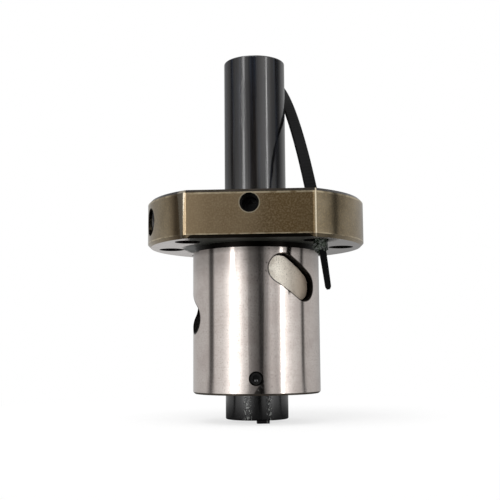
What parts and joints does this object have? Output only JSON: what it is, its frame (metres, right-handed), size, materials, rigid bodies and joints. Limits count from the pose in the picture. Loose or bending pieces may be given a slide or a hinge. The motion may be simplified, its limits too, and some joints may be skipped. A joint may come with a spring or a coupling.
{
  "type": "ball screw nut",
  "caption": "Flanged ball screw nut with slanted deflector inserts and ball loops, on a transport mandrel, with a cable tie through one bolt hole.",
  "frame": {"origin": "on the axis, in the flange's mounting face, which the barrel hangs below", "axes": "+Z along the axis from the nose to the flange and the mandrel's long end; the flats face -Y and +Y, the front one with the wiper screw is -Y"},
  "size_m": [0.048, 0.0482, 0.0861],
  "materials": {
    "nut_body": "ground bearing steel, the flange tinted bronze by heat",
    "deflector": "satin steel",
    "ball": "polished bearing steel",
    "wiper": "moulded nylon",
    "set_screw": "black oxide",
    "mandrel": "extruded black plastic with fine lengthwise streaks and an oil film",
    "cable_tie": "black nylon with fine ribs"
  },
  "bodies": {
    "nut": {"ball_1_01": "ball", "ball_1_02": "ball", "ball_1_03": "ball", "ball_1_04": "ball", "ball_1_05": "ball", "ball_1_06": "ball", "ball_1_07": "ball", "ball_1_08": "ball", "ball_1_09": "ball", "ball_1_10": "ball", "ball_1_11": "ball", "ball_1_12": "ball", "ball_1_13": "ball", "ball_1_14": "ball", "ball_1_15": "ball", "ball_1_16": "ball", "ball_2_01": "ball", "ball_2_02": "ball", "ball_2_03": "ball", "ball_2_04": "ball", "ball_2_05": "ball", "ball_2_06": "ball", "ball_2_07": "ball", "ball_2_08": "ball", "ball_2_09": "ball", "ball_2_10": "ball", "ball_2_11": "ball", "ball_2_12": "ball", "ball_2_13": "ball", "ball_2_14": "ball", "ball_2_15": "ball", "ball_2_16": "ball", "ball_3_01": "ball", "ball_3_02": "ball", "ball_3_03": "ball", "ball_3_04": "ball", "ball_3_05": "ball", "ball_3_06": "ball", "ball_3_07": "ball", "ball_3_08": "ball", "ball_3_09": "ball", "ball_3_10": "ball", "ball_3_11": "ball", "ball_3_12": "ball", "ball_3_13": "ball", "ball_3_14": "ball", "ball_3_15": "ball", "ball_3_16": "ball", "deflector_1": "deflector", "deflector_2": "deflector", "deflector_3": "deflector", "flange_wiper": "wiper", "flange_wiper_screw": "set_screw", "nose_wiper": "wiper", "nose_wiper_screw": "set_screw", "nut_body": "nut_body"},
    "mandrel": {"mandrel": "mandrel"},
    "tie": {"cable_tie": "cable_tie"}
  },
  "joints": [
    {"name": "mandrel_slide", "type": "slide", "parent": "nut", "child": "mandrel", "axis": [0, 0, 1], "range_m": [-0.035, 0.078]},
    {"name": "tie_draw", "type": "hinge", "parent": "nut", "child": "tie", "pos_m": [0.00755, 0.04386, -0.01141], "axis": [-0.9829, -0.1381, -0.1219], "range_deg": [-18.5, 20]}
  ]
}
